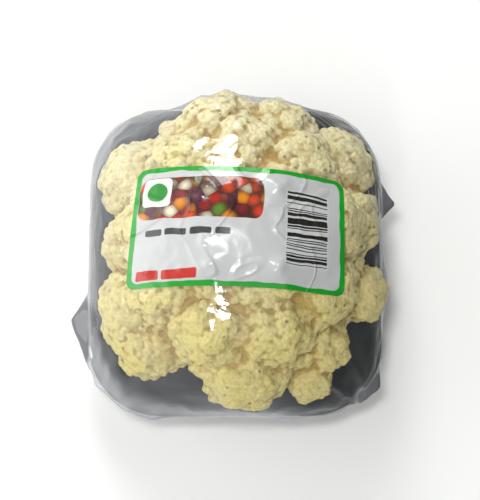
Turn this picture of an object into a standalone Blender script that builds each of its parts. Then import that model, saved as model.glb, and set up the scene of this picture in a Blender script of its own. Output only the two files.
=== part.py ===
"""A trimmed cauliflower in a shallow black tray, overwrapped in clear stretch film with a printed label.

Metres, +Z up. The pack stands on the flat underside of its film, at z = 0, and its origin is the middle
of its footprint. +Y points to the top edge of the label. The head grew as one piece, so it is one object.
"""

import math
import random

import bmesh
import bpy
from mathutils import Vector

# Tray: nearly square, with round corners, sloping walls and a narrow flange
TRAY_WIDTH = 0.132
TRAY_DEPTH = 0.142
TRAY_CORNER_RADIUS = 0.033
TRAY_HEIGHT = 0.026
TRAY_WALL = 0.0016
TRAY_FLANGE = 0.0035
TRAY_WALL_SLOPE = 0.010
TRAY_FLOOR_RADIUS = 0.006
TRAY_CORNER_STEPS = 9
TRAY_FLOOR_STEPS = 4

# Head: the curd is a dome of florets on a short stalk, cut flat where the leaves were trimmed off
CURD_WIDTH = 0.131
CURD_DEPTH = 0.144
CURD_HEIGHT = 0.060
CURD_ABOVE_RIM = 0.013
HEAD_OFFSET = 0.003
STALK_RADIUS = 0.019
STALK_FLARE = 1.1
STEM_RADIUS = 0.0095
STEM_FLARE = 1.3
HEART_SHARE = (0.70, 0.70, 0.45)
HEART_RISE = 0.30
FORK_DROP = 0.10

# Each main floret: its place in plan as a share of the curd's half width and half depth, its radius,
# and how far it hangs below the dome (a minus sign stands above it). The outer ring comes first, then
# the inner ring, then the crown
FLORETS = (
    (-0.15, 0.71, 0.0205, -0.016),
    (0.24, 0.69, 0.0190, -0.012),
    (0.66, 0.55, 0.0180, -0.002),
    (0.71, 0.19, 0.0170, 0.001),
    (0.82, -0.25, 0.0135, 0.004),
    (0.53, -0.58, 0.0140, 0.006),
    (0.45, -0.78, 0.0110, 0.010),
    (0.02, -0.72, 0.0210, 0.002),
    (-0.61, -0.55, 0.0180, 0.001),
    (-0.68, -0.36, 0.0205, 0.001),
    (-0.76, 0.02, 0.0130, 0.004),
    (-0.69, 0.43, 0.0205, 0.001),
    (-0.40, 0.66, 0.0125, 0.002),
    (0.54, 0.10, 0.0185, 0.001),
    (0.36, 0.43, 0.0190, 0.000),
    (0.01, 0.54, 0.0195, 0.002),
    (-0.36, 0.44, 0.0185, 0.000),
    (-0.55, 0.08, 0.0190, 0.001),
    (-0.48, -0.27, 0.0185, 0.000),
    (-0.20, -0.50, 0.0185, 0.001),
    (0.20, -0.52, 0.0170, 0.003),
    (0.50, -0.27, 0.0175, 0.002),
    (0.20, 0.14, 0.0205, 0.000),
    (-0.15, 0.20, 0.0200, 0.001),
    (-0.18, -0.14, 0.0205, 0.000),
    (0.14, -0.20, 0.0195, 0.001),
)
FLORET_CORE_SHARE = 0.8
SPRIGS_PER_FLORET = 16
SPRIG_SHARE = 0.34
SPRIG_SPREAD = 0.15
SPRIG_LEAN = 0.10
FLORET_CAP = math.radians(105)
GOLDEN_ANGLE = math.pi * (3 - math.sqrt(5))
SEED = 4
CURD_GRAIN = 0.0022
CURD_DETAIL_KEPT = 0.17

# Film and label: drawn thicker than the real 0.02 mm film and 0.06 mm label, so that they are solids
FILM_THICKNESS = 0.0004
LABEL_THICKNESS = 0.0004
CLEARANCE = 0.0004
FILM_GAP_RADIUS = 0.026
LABEL_WIDTH = 0.086
LABEL_HEIGHT = 0.050
LABEL_CORNER_RADIUS = 0.004
LABEL_CORNER_STEPS = 5
LABEL_OFFSET = (0.002, 0.001)
LABEL_TURN = math.radians(-3)

# Heights that the pieces share
TRAY_BASE_Z = FILM_THICKNESS + CLEARANCE
TRAY_FLOOR_Z = TRAY_BASE_Z + TRAY_WALL
TRAY_RIM_Z = TRAY_BASE_Z + TRAY_HEIGHT
STALK_BASE_Z = TRAY_FLOOR_Z + CLEARANCE
CURD_BASE_Z = TRAY_RIM_Z + CURD_ABOVE_RIM


def clear_scene():
    for old in list(bpy.data.objects):
        bpy.data.objects.remove(old, do_unlink=True)


def material(name, colour, roughness, alpha=1.0):
    made = bpy.data.materials.new(name)
    made.use_nodes = True
    shader = made.node_tree.nodes["Principled BSDF"]
    shader.inputs["Base Color"].default_value = (*colour, 1.0)
    shader.inputs["Roughness"].default_value = roughness
    shader.inputs["Metallic"].default_value = 0.0
    shader.inputs["Alpha"].default_value = alpha
    return made


def mesh_object(name, mesh_data, parent, finish=None):
    """Puts a bmesh into the scene as a named object, under the pack's empty, and frees the bmesh."""
    mesh = bpy.data.meshes.new(name)
    mesh_data.to_mesh(mesh)
    mesh_data.free()
    obj = bpy.data.objects.new(name, mesh)
    bpy.context.scene.collection.objects.link(obj)
    obj.parent = parent
    if finish:
        mesh.materials.append(finish)
    return obj


def cutter(name, mesh_data, parent):
    obj = mesh_object(name, mesh_data, parent)
    obj.hide_render = True
    obj.display_type = "WIRE"
    return obj


def boolean(obj, operation, other):
    step = obj.modifiers.new(f"{operation.lower()} {other.name}", "BOOLEAN")
    step.operation = operation
    step.solver = "EXACT"
    step.object = other


def evaluated_points(obj):
    """The object's vertices with its modifiers, in the pack's own frame."""
    bpy.context.view_layer.update()
    mesh = obj.evaluated_get(bpy.context.evaluated_depsgraph_get()).to_mesh()
    return [obj.matrix_local @ vertex.co for vertex in mesh.vertices]


def rounded_rectangle(width, height, radius, steps, z):
    """Points round a rounded rectangle, anticlockwise from above, with steps segments in each corner."""
    points = []
    for corner in range(4):
        start = corner * math.pi / 2
        middle_x = (width / 2 - radius) * (1 if corner in (0, 3) else -1)
        middle_y = (height / 2 - radius) * (1 if corner in (0, 1) else -1)
        for step in range(steps + 1):
            angle = start + step / steps * math.pi / 2
            x = middle_x + radius * math.cos(angle)
            y = middle_y + radius * math.sin(angle)
            points.append(Vector((x, y, z)))
    return points


def loft(rings):
    """A closed body through rings of the same number of points, with the first and last ring filled."""
    body = bmesh.new()
    loops = [[body.verts.new(point) for point in ring] for ring in rings]
    for lower, upper in zip(loops, loops[1:]):
        for i, vertex in enumerate(lower):
            after = (i + 1) % len(lower)
            body.faces.new((vertex, lower[after], upper[after], upper[i]))
    body.faces.new(list(reversed(loops[0])))
    body.faces.new(loops[-1])
    bmesh.ops.recalc_face_normals(body, faces=body.faces)
    return body


# Tray


def tray_foot(foot_in, floor_z):
    """The rounded corner between the tray's floor and its sloping wall, as (inset, height) points."""
    turn = math.pi / 2 - math.atan2(TRAY_WALL_SLOPE, TRAY_HEIGHT)
    centre_in = foot_in + TRAY_FLOOR_RADIUS * math.tan(turn / 2)
    centre_z = floor_z + TRAY_FLOOR_RADIUS
    angles = [turn * step / TRAY_FLOOR_STEPS for step in range(TRAY_FLOOR_STEPS + 1)]
    return [
        (centre_in - TRAY_FLOOR_RADIUS * math.sin(angle), centre_z - TRAY_FLOOR_RADIUS * math.cos(angle))
        for angle in angles
    ]


def tray_section():
    """(inset from the flange's edge, height) round the tray's section, from its base over its rim."""
    foot_in = TRAY_FLANGE + TRAY_WALL_SLOPE
    outer_rim = [(TRAY_FLANGE, TRAY_RIM_Z - TRAY_WALL), (0, TRAY_RIM_Z - TRAY_WALL)]
    inner_rim = [(0, TRAY_RIM_Z), (TRAY_FLANGE + TRAY_WALL, TRAY_RIM_Z)]
    outer_foot = tray_foot(foot_in, TRAY_BASE_Z)
    inner_foot = tray_foot(foot_in + TRAY_WALL, TRAY_FLOOR_Z)
    return outer_foot + outer_rim + inner_rim + list(reversed(inner_foot))


def make_tray(pack):
    rings = []
    for inset, height in tray_section():
        size = (TRAY_WIDTH - 2 * inset, TRAY_DEPTH - 2 * inset)
        rings.append(rounded_rectangle(*size, TRAY_CORNER_RADIUS - inset, TRAY_CORNER_STEPS, height))
    finish = material("black polypropylene", (0.018, 0.018, 0.020), 0.45)
    tray = mesh_object("tray", loft(rings), pack, finish)
    tray.data.shade_smooth()
    tray.data.set_sharp_from_angle(angle=math.radians(35))
    return tray


# Cauliflower head


def add_ball(body, centre, radius, squash=(1, 1, 1), subdivisions=2):
    made = bmesh.ops.create_icosphere(body, subdivisions=subdivisions, radius=radius)
    bmesh.ops.scale(body, verts=made["verts"], vec=squash)
    bmesh.ops.translate(body, verts=made["verts"], vec=centre)


def add_limb(body, start, end, start_radius, end_radius):
    """A tapering stem between two points, with closed ends."""
    along = end - start
    made = bmesh.ops.create_cone(
        body, cap_ends=True, segments=14, radius1=start_radius, radius2=end_radius, depth=along.length
    )
    turn = along.to_track_quat("Z", "Y").to_matrix()
    bmesh.ops.rotate(body, verts=made["verts"], cent=(0, 0, 0), matrix=turn)
    bmesh.ops.translate(body, verts=made["verts"], vec=(start + end) / 2)


def floret_places():
    """(centre, outward direction, radius) of each main floret, with its top on the curd's dome."""
    places = []
    for share_x, share_y, radius, hang in FLORETS:
        reach = Vector((CURD_WIDTH / 2 - radius, CURD_DEPTH / 2 - radius, CURD_HEIGHT - radius))
        x, y = share_x * CURD_WIDTH / 2, share_y * CURD_DEPTH / 2
        inside = 1 - (x / reach.x) ** 2 - (y / reach.y) ** 2
        z = reach.z * math.sqrt(max(inside, 0))
        outward = Vector((x / reach.x**2, y / reach.y**2, z / reach.z**2)).normalized()
        places.append((Vector((x, y, CURD_BASE_Z + z - hang)), outward, radius))
    return places


def cap_directions(outward, count, angle, wobble, chance):
    """Directions spread by the golden angle over a cap round outward, each leaning a little by chance."""
    turn = outward.to_track_quat("Z", "Y")
    for k in range(count):
        polar = angle * math.sqrt((k + 0.5) / count)
        around = k * GOLDEN_ANGLE
        direction = Vector(
            (math.sin(polar) * math.cos(around), math.sin(polar) * math.sin(around), math.cos(polar))
        )
        direction += Vector([chance.uniform(-wobble, wobble) for _ in range(3)])
        yield turn @ direction.normalized()


def lowest_allowed(centre, radius):
    """Where a ball of this radius goes so that it clears the tray's rim."""
    floor = TRAY_RIM_Z + CLEARANCE + CURD_GRAIN / 2 + radius
    return Vector((centre.x, centre.y, max(centre.z, floor)))


def make_head(pack):
    chance = random.Random(SEED)
    body = bmesh.new()
    heart = Vector((0, 0, CURD_BASE_Z + HEART_RISE * CURD_HEIGHT))
    fork = Vector((0, 0, CURD_BASE_Z - FORK_DROP * CURD_HEIGHT))
    stalk_foot = Vector((0, 0, STALK_BASE_Z - STALK_RADIUS / 2))
    size = Vector((CURD_WIDTH / 2, CURD_DEPTH / 2, CURD_HEIGHT))
    add_ball(body, heart, 1, Vector(HEART_SHARE) * size, subdivisions=3)
    add_limb(body, stalk_foot, heart, STALK_RADIUS, STALK_FLARE * STALK_RADIUS)
    for centre, outward, radius in floret_places():
        core_radius = FLORET_CORE_SHARE * radius
        centre = lowest_allowed(centre, core_radius)
        add_limb(body, fork, centre, STEM_FLARE * STEM_RADIUS, STEM_RADIUS)
        add_ball(body, centre, core_radius)
        for direction in cap_directions(outward, SPRIGS_PER_FLORET, FLORET_CAP, SPRIG_LEAN, chance):
            sprig = radius * SPRIG_SHARE * chance.uniform(1 - SPRIG_SPREAD, 1 + SPRIG_SPREAD)
            place = lowest_allowed(centre + direction * (radius - sprig), sprig)
            add_ball(body, place, sprig)
    finish = material("cauliflower curd", (0.80, 0.74, 0.52), 0.6)
    head = mesh_object("cauliflower_head", body, pack, finish)
    skin = head.modifiers.new("one skin", "REMESH")
    skin.mode = "VOXEL"
    skin.voxel_size = CURD_GRAIN
    skin.use_smooth_shade = True
    fewer = head.modifiers.new("fewer faces", "DECIMATE")
    fewer.ratio = CURD_DETAIL_KEPT
    below = bmesh.new()
    depth = 2 * STALK_RADIUS
    bmesh.ops.create_cube(below, size=1)
    bmesh.ops.scale(below, verts=below.verts, vec=(2 * depth, 2 * depth, depth))
    bmesh.ops.translate(below, verts=below.verts, vec=(0, 0, STALK_BASE_Z - depth / 2))
    cut = cutter("stalk_cut", below, pack)
    cut.location.x = HEAD_OFFSET
    boolean(head, "DIFFERENCE", cut)
    head.location.x = HEAD_OFFSET
    return head


# Film and label


def convex_hull(points):
    body = bmesh.new()
    for point in points:
        body.verts.new(point)
    found = bmesh.ops.convex_hull(body, input=body.verts)
    loose = found["geom_interior"] + found["geom_unused"]
    inner = {item for item in loose if isinstance(item, bmesh.types.BMVert)}
    bmesh.ops.delete(body, geom=list(inner), context="VERTS")
    bmesh.ops.recalc_face_normals(body, faces=body.faces)
    return body


def tight_hull(points, distance):
    """The shape that film pulled tight round these points takes, standing off them by distance."""
    corners = []
    for point in points:
        for side in range(8):
            step = Vector([distance if side >> axis & 1 else -distance for axis in range(3)])
            corners.append(point + step)
    return convex_hull(corners)


def touched_points(*objects):
    """The points of these objects that tight film would touch."""
    points = [point for obj in objects for point in evaluated_points(obj)]
    hull = convex_hull(points)
    kept = [vertex.co.copy() for vertex in hull.verts]
    hull.free()
    return kept


def make_film(pack, touched):
    finish = material("clear stretch film", (0.9, 0.92, 0.94), 0.1, alpha=0.25)
    film = mesh_object("film", tight_hull(touched, CLEARANCE + FILM_THICKNESS), pack, finish)
    inside = cutter("film_inside", tight_hull(touched, CLEARANCE), pack)
    gap = bmesh.new()
    radii = {"radius1": FILM_GAP_RADIUS, "radius2": FILM_GAP_RADIUS}
    bmesh.ops.create_cone(gap, cap_ends=True, segments=32, depth=2 * TRAY_BASE_Z, **radii)
    boolean(film, "DIFFERENCE", inside)
    boolean(film, "DIFFERENCE", cutter("film_gap", gap, pack))
    film.data.shade_smooth()
    film.data.set_sharp_from_angle(angle=math.radians(30))
    return film


def make_label(pack, touched):
    stand_off = FILM_THICKNESS + 2 * CLEARANCE
    finish = material("printed label", (0.80, 0.82, 0.82), 0.35)
    label = mesh_object("label", tight_hull(touched, stand_off + LABEL_THICKNESS), pack, finish)
    under = cutter("label_underside", tight_hull(touched, stand_off), pack)
    rings = [
        rounded_rectangle(LABEL_WIDTH, LABEL_HEIGHT, LABEL_CORNER_RADIUS, LABEL_CORNER_STEPS, z)
        for z in (CURD_BASE_Z, 2 * (CURD_BASE_Z + CURD_HEIGHT))
    ]
    outline = cutter("label_outline", loft(rings), pack)
    outline.location = (*LABEL_OFFSET, 0)
    outline.rotation_euler.z = LABEL_TURN
    boolean(label, "DIFFERENCE", under)
    boolean(label, "INTERSECT", outline)
    return label


def centre_footprint(pack, points):
    """Moves the pack so that the middle of its outline in plan is the origin."""
    for axis in (0, 1):
        values = [point[axis] for point in points]
        pack.location[axis] = -(min(values) + max(values)) / 2


def main():
    clear_scene()
    pack = bpy.data.objects.new("cauliflower_pack", None)
    bpy.context.scene.collection.objects.link(pack)
    tray = make_tray(pack)
    head = make_head(pack)
    touched = touched_points(tray, head)
    make_film(pack, touched)
    make_label(pack, touched)
    centre_footprint(pack, touched)


main()
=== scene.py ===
# %% [markdown]
# # A cauliflower in stretch film
#
# A trimmed cauliflower sits in a shallow black tray. Clear stretch film is pulled tight over both, and a
# printed label lies over the top of the head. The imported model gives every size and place. This script adds
# what the eye judges: the curd's lumps and creases, the film's shine and folds, and the label's print.

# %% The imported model
import math
import random

import bmesh
import bpy
import numpy as np
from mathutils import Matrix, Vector, noise
from mathutils.bvhtree import BVHTree


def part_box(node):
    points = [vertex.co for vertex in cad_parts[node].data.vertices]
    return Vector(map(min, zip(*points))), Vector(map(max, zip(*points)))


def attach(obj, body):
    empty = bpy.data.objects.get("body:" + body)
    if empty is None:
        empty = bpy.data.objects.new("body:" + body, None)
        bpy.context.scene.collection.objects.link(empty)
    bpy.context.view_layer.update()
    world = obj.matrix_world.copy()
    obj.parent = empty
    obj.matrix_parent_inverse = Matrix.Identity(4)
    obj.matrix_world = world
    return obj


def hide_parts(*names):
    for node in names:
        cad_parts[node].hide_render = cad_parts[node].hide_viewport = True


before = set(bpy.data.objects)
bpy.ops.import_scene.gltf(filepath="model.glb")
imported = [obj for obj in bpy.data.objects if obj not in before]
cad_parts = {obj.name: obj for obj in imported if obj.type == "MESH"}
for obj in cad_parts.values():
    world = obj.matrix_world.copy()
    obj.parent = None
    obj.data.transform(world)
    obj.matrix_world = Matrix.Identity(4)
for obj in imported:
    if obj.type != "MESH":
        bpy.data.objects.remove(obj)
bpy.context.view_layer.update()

MM = 0.001
head_low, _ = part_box("cauliflower_head")
tray_low, tray_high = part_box("tray")
label_low, label_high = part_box("label")
tray_middle = (tray_low + tray_high) / 2
rim_z = tray_high.z

# %% [markdown]
# ## The camera
#
# The pack lies on a table and the camera looks down on it from over its near edge. A long lens from about
# 60 cm keeps the tray's sides nearly parallel. The aim is worked out at the height of the tray's rim.

# %% Camera
CAMERA_ELEVATION = math.radians(78)
CAMERA_DISTANCE = 620 * MM
VIEW_WIDTH = 219 * MM
IMAGE_SHAPE = 480 / 500
CAMERA_AIM = (0.5 * MM, 4.7 * MM)
aim = Vector((*CAMERA_AIM, rim_z))

camera_data = bpy.data.cameras.new("camera")
camera_data.lens = camera_data.sensor_width * IMAGE_SHAPE * CAMERA_DISTANCE / VIEW_WIDTH
camera = bpy.data.objects.new("camera", camera_data)
away = Vector((0, -math.cos(CAMERA_ELEVATION), math.sin(CAMERA_ELEVATION)))
camera.location = aim + away * CAMERA_DISTANCE
camera.rotation_euler = (-away).to_track_quat("-Z", "Y").to_euler()
bpy.context.scene.collection.objects.link(camera)
bpy.context.scene.camera = camera
print("lens:", round(camera_data.lens, 1), "mm")

# %% [markdown]
# ## Numbers into meshes
#
# The curd and the film are too irregular for modelling by hand, and too regular to leave to a noise texture.
# Both are grown by rules, on arrays of points. numpy moves a hundred thousand points at once, where a loop
# over a mesh's vertices would take minutes. These helpers carry the arrays into Blender and back.


# %% Helpers for meshes
def icosphere(subdivisions):
    """Points and triangles of a ball of radius 1."""
    body = bmesh.new()
    bmesh.ops.create_icosphere(body, subdivisions=subdivisions, radius=1)
    body.verts.index_update()
    points = np.array([vertex.co for vertex in body.verts])
    faces = np.array([[vertex.index for vertex in face.verts] for face in body.faces])
    body.free()
    return points, faces


def object_from(name, points, faces, smooth=True):
    mesh = bpy.data.meshes.new(name)
    mesh.from_pydata([tuple(point) for point in points], [], [tuple(face) for face in faces])
    mesh.validate()
    if smooth:
        mesh.shade_smooth()
    obj = bpy.data.objects.new(name, mesh)
    bpy.context.scene.collection.objects.link(obj)
    return obj


def read_points(mesh, kind="co"):
    values = np.empty(3 * len(mesh.vertices))
    if kind == "co":
        mesh.vertices.foreach_get("co", values)
    else:
        mesh.vertex_normals.foreach_get("vector", values)
    return values.reshape(-1, 3)


def read_edges(mesh):
    pairs = np.empty(2 * len(mesh.edges), dtype=np.int64)
    mesh.edges.foreach_get("vertices", pairs)
    return pairs.reshape(-1, 2)


def neighbour_mean(points, edges):
    """For each point, the mean of the points that an edge joins it to."""
    ends = np.concatenate((edges[:, 0], edges[:, 1]))
    others = np.concatenate((edges[:, 1], edges[:, 0]))
    count = np.bincount(ends, minlength=len(points))
    sums = [np.bincount(ends, points[others, axis], len(points)) for axis in range(3)]
    return np.stack(sums, axis=1) / np.maximum(count, 1)[:, None]


def store(mesh, name, values):
    """Keeps one number per vertex, for a material to read by this name."""
    attribute = mesh.attributes.new(name, "FLOAT", "POINT")
    attribute.data.foreach_set("value", np.asarray(values, dtype=np.float32))


def smoothstep(low, high, values):
    share = np.clip((np.asarray(values, dtype=float) - low) / (high - low), 0, 1)
    return share * share * (3 - 2 * share)


# %% [markdown]
# ## The curd
#
# A cauliflower's curd is branches that fork again and again, so each lump carries smaller lumps of the same
# kind. Three forks are modelled: a floret, its sprigs, and the curdlets on each sprig. Each fork puts balls
# round the outside of the ball before it, turned by the golden angle, as the plant itself does. A voxel
# remesh then melts all the balls into one skin, which keeps the narrow creases between them.
#
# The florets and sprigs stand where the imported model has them.

# %% Sizes of the head
CURD_WIDTH = 131 * MM
CURD_DEPTH = 144 * MM
CURD_HEIGHT = 60 * MM
CURD_ABOVE_RIM = 13 * MM
CURD_RIM_GAP = 1.5 * MM
HEAD_OFFSET = 3 * MM
STALK_RADIUS = 19 * MM
STEM_RADIUS = 9.5 * MM
curd_base_z = rim_z + CURD_ABOVE_RIM
head_axis = Vector((tray_middle.x + HEAD_OFFSET, tray_middle.y, 0))

# Each main floret: its place in plan as a share of the curd's half width and half depth, its radius in mm,
# and how far it hangs below the dome in mm (a minus sign stands above it)
FLORETS = (
    (-0.15, 0.71, 20.5, -16),
    (0.24, 0.69, 19.0, -12),
    (0.66, 0.55, 18.0, -2),
    (0.71, 0.19, 17.0, 1),
    (0.82, -0.25, 13.5, 4),
    (0.53, -0.58, 14.0, 6),
    (0.45, -0.78, 11.0, 10),
    (0.02, -0.72, 21.0, 2),
    (-0.61, -0.55, 18.0, 1),
    (-0.68, -0.36, 20.5, 1),
    (-0.76, 0.02, 13.0, 4),
    (-0.69, 0.43, 20.5, 1),
    (-0.40, 0.66, 12.5, 2),
    (0.54, 0.10, 18.5, 1),
    (0.36, 0.43, 19.0, 0),
    (0.01, 0.54, 19.5, 2),
    (-0.36, 0.44, 18.5, 0),
    (-0.55, 0.08, 19.0, 1),
    (-0.48, -0.27, 18.5, 0),
    (-0.20, -0.50, 18.5, 1),
    (0.20, -0.52, 17.0, 3),
    (0.50, -0.27, 17.5, 2),
    (0.20, 0.14, 20.5, 0),
    (-0.15, 0.20, 20.0, 1),
    (-0.18, -0.14, 20.5, 0),
    (0.14, -0.20, 19.5, 1),
)
FLORET_CORE_SHARE = 0.8
FLORET_BODY_SHARE = 0.85
SPRIGS_PER_FLORET = 16
SPRIG_SHARE = 0.34
SPRIG_CORE_SHARE = 0.84
SPRIG_SPREAD = 0.15
SPRIG_LEAN = 0.10
FORK_CAP = math.radians(105)
GOLDEN_ANGLE = math.pi * (3 - math.sqrt(5))

CURDLETS_PER_SPRIG = 22
CURDLET_SHARE = 0.335
CURDLET_SUNK_SHARE = 0.70
CURDLET_SPREAD = 0.22
CURDLET_LEAN = 0.12
SKIN_VOXEL = 0.8 * MM
SKIN_TRIANGLES = 190_000
print(len(FLORETS) * SPRIGS_PER_FLORET * CURDLETS_PER_SPRIG, "curdlets")


# %% Forking
def direction_at(polar, around):
    """The unit vector at an angle from straight up and an angle round it."""
    return Vector((math.sin(polar) * math.cos(around), math.sin(polar) * math.sin(around), math.cos(polar)))


def cap_directions(outward, count, lean, chance):
    """Directions spread by the golden angle over a cap round outward, each leaning a little by chance."""
    turn = outward.to_track_quat("Z", "Y")
    for k in range(count):
        direction = direction_at(FORK_CAP * math.sqrt((k + 0.5) / count), k * GOLDEN_ANGLE)
        direction += Vector([chance.uniform(-lean, lean) for _ in range(3)])
        yield turn @ direction.normalized()


def clear_of_rim(centre, radius):
    """Where a ball of this radius goes so that it clears the tray's rim."""
    return Vector((centre.x, centre.y, max(centre.z, rim_z + CURD_RIM_GAP + radius)))


def floret_places():
    """(centre, outward direction, radius) of each main floret, with its top on the curd's dome."""
    for share_x, share_y, radius_mm, hang_mm in FLORETS:
        radius = radius_mm * MM
        reach = Vector((CURD_WIDTH / 2 - radius, CURD_DEPTH / 2 - radius, CURD_HEIGHT - radius))
        x, y = share_x * CURD_WIDTH / 2, share_y * CURD_DEPTH / 2
        inside = 1 - (x / reach.x) ** 2 - (y / reach.y) ** 2
        z = reach.z * math.sqrt(max(inside, 0))
        outward = Vector((x / reach.x**2, y / reach.y**2, z / reach.z**2)).normalized()
        centre = head_axis + Vector((x, y, curd_base_z + z - hang_mm * MM))
        yield clear_of_rim(centre, FLORET_CORE_SHARE * radius), outward, radius


def curdlets_round(centre, outward, radius, chance):
    """(centre, radius) of the curdlets on a sprig, each sunk a little into it."""
    for twig in cap_directions(outward, CURDLETS_PER_SPRIG, CURDLET_LEAN, chance):
        curdlet = radius * CURDLET_SHARE * chance.uniform(1 - CURDLET_SPREAD, 1 + CURDLET_SPREAD)
        place = centre + twig * (radius - CURDLET_SUNK_SHARE * curdlet)
        yield clear_of_rim(place, curdlet), curdlet


floret_chance = random.Random(4)
curdlet_chance = random.Random(11)
florets, sprigs, curdlets = [], [], []
for centre, outward, radius in floret_places():
    body = FLORET_BODY_SHARE * radius
    florets.append((clear_of_rim(centre, body), body))
    for direction in cap_directions(outward, SPRIGS_PER_FLORET, SPRIG_LEAN, floret_chance):
        sprig = radius * SPRIG_SHARE * floret_chance.uniform(1 - SPRIG_SPREAD, 1 + SPRIG_SPREAD)
        sprig_centre = clear_of_rim(centre + direction * (radius - sprig), sprig)
        sprigs.append((sprig_centre, SPRIG_CORE_SHARE * sprig))
        curdlets += curdlets_round(sprig_centre, direction, sprig, curdlet_chance)
print(len(florets), "florets,", len(sprigs), "sprigs and", len(curdlets), "curdlets")

# %% [markdown]
# The main florets leave gaps between them. On the plant smaller side shoots fill every gap, so that no branch
# shows from above. They stand on a slightly smaller dome, where only the gaps let them be seen.

# %% Side shoots
SIDE_SHOOTS = 150
SHOOT_RADIUS = 6.2 * MM
SHOOT_DEPTH = 10.5 * MM
SHOOT_SPREAD = 0.2
curd_middle = head_axis + Vector((0, 0, curd_base_z))
shoot_chance = random.Random(5)
shoots = []
for k in range(SIDE_SHOOTS):
    direction = direction_at(math.acos(1 - (k + 0.5) / SIDE_SHOOTS), k * GOLDEN_ANGLE)
    radius = SHOOT_RADIUS * shoot_chance.uniform(1 - SHOOT_SPREAD, 1 + SHOOT_SPREAD)
    reach = Vector((CURD_WIDTH / 2, CURD_DEPTH / 2, CURD_HEIGHT)) - Vector((1, 1, 1)) * (SHOOT_DEPTH + radius)
    place = clear_of_rim(curd_middle + direction * reach, radius)
    shoots.append((place, SPRIG_CORE_SHARE * radius))
    curdlets += curdlets_round(place, direction, radius, shoot_chance)
sprigs += shoots
print(len(shoots), "side shoots")


# %% Balls and branches
def ball_cloud(balls, subdivisions):
    """One set of points and triangles for many balls, each given as (centre, radius)."""
    unit, faces = icosphere(subdivisions)
    centres = np.array([centre for centre, _ in balls])
    radii = np.array([radius for _, radius in balls])
    points = centres[:, None, :] + radii[:, None, None] * unit[None, :, :]
    steps = len(unit) * np.arange(len(balls))
    return points.reshape(-1, 3), (faces[None, :, :] + steps[:, None, None]).reshape(-1, 3)


def joined(clouds):
    points, faces, start = [], [], 0
    for cloud_points, cloud_faces in clouds:
        points.append(cloud_points)
        faces.append(cloud_faces + start)
        start += len(cloud_points)
    return np.concatenate(points), np.concatenate(faces)


def branch(start, end, start_radius, end_radius, step=2 * MM):
    """A run of overlapping balls from start to end, which the remesh melts into a tapering branch."""
    count = max(2, int((end - start).length / step))
    return [
        (start.lerp(end, k / count), start_radius + (end_radius - start_radius) * k / count)
        for k in range(count + 1)
    ]


HEART_SHARE = (0.70, 0.70, 0.45)
HEART_RISE = 0.3 * CURD_HEIGHT
FORK_DROP = 0.1 * CURD_HEIGHT
fork = head_axis + Vector((0, 0, curd_base_z - FORK_DROP))
heart = head_axis + Vector((0, 0, curd_base_z + HEART_RISE))
stems = []
for centre, _ in florets:
    stems += branch(fork, centre, 1.1 * STEM_RADIUS, 0.9 * STEM_RADIUS)
heart_points, heart_faces = icosphere(4)
heart_points *= np.array(HEART_SHARE) * np.array((CURD_WIDTH / 2, CURD_DEPTH / 2, CURD_HEIGHT))
heart_points += np.array(heart)
print(len(stems), "balls along the branches")

# %% [markdown]
# The stalk is cut flat where the leaves came off. It is a turned shape, with a slight waist and the
# shallow scars of the leaf bases round its foot.


# %% Stalk
LEAF_SCARS = 5
SCAR_DEPTH_SHARE = 0.025
SCAR_TURN = 0.9 / MM


def turned(profile, centre, steps=96):
    """A closed turned shape through (radius, height) pairs, with its first and last ring filled."""
    angles = np.linspace(0, 2 * math.pi, steps, endpoint=False)
    rings = []
    for radius, height in profile:
        ring = radius * (1 + SCAR_DEPTH_SHARE * np.sin(LEAF_SCARS * angles + SCAR_TURN * height))
        rings.append(np.stack((ring * np.cos(angles), ring * np.sin(angles), np.full(steps, height)), axis=1))
    points = np.concatenate(rings) + np.array((centre.x, centre.y, 0))
    faces = []
    for ring in range(len(profile) - 1):
        for k in range(steps):
            low, after = ring * steps + k, ring * steps + (k + 1) % steps
            faces += [(low, after, after + steps), (low, after + steps, low + steps)]
    last = (len(profile) - 1) * steps
    for k in range(1, steps - 1):
        faces += [(0, k + 1, k), (last, last + k, last + k + 1)]
    return points, np.array(faces)


stalk_foot_z = head_low.z
stalk_profile = (
    (0.93 * STALK_RADIUS, stalk_foot_z),
    (0.99 * STALK_RADIUS, stalk_foot_z + 1.2 * MM),
    (1.00 * STALK_RADIUS, stalk_foot_z + 5 * MM),
    (0.96 * STALK_RADIUS, stalk_foot_z + 12 * MM),
    (1.00 * STALK_RADIUS, stalk_foot_z + 20 * MM),
    (1.18 * STALK_RADIUS, curd_base_z),
    (0.80 * STALK_RADIUS, heart.z),
)
stalk = turned(stalk_profile, head_axis)
print("stalk:", round(2 * STALK_RADIUS / MM), "mm across")

# %% [markdown]
# The remesh turns the thousands of overlapping balls into one watertight skin. A cell pattern then raises the
# buds, the smallest lumps that still show as shape. What is finer than a bud is left to the material.

# %% One skin
cloud = joined(
    [ball_cloud(florets, 3), ball_cloud(sprigs, 2), ball_cloud(curdlets, 2), ball_cloud(stems, 2)]
    + [(heart_points, heart_faces), stalk]
)
raw = object_from("raw_head", *cloud)
skin = raw.modifiers.new("one skin", "REMESH")
skin.mode = "VOXEL"
skin.voxel_size = SKIN_VOXEL
evaluated = raw.evaluated_get(bpy.context.evaluated_depsgraph_get())
fewer = raw.modifiers.new("fewer faces", "DECIMATE")
fewer.ratio = min(1, SKIN_TRIANGLES / (2 * len(evaluated.data.polygons)))
evaluated = raw.evaluated_get(bpy.context.evaluated_depsgraph_get())
head_mesh = bpy.data.meshes.new_from_object(evaluated)
bpy.data.objects.remove(raw)
head_mesh.name = "curd_skin"
head_mesh.shade_smooth()
print("head skin:", len(head_mesh.polygons), "faces")

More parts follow.
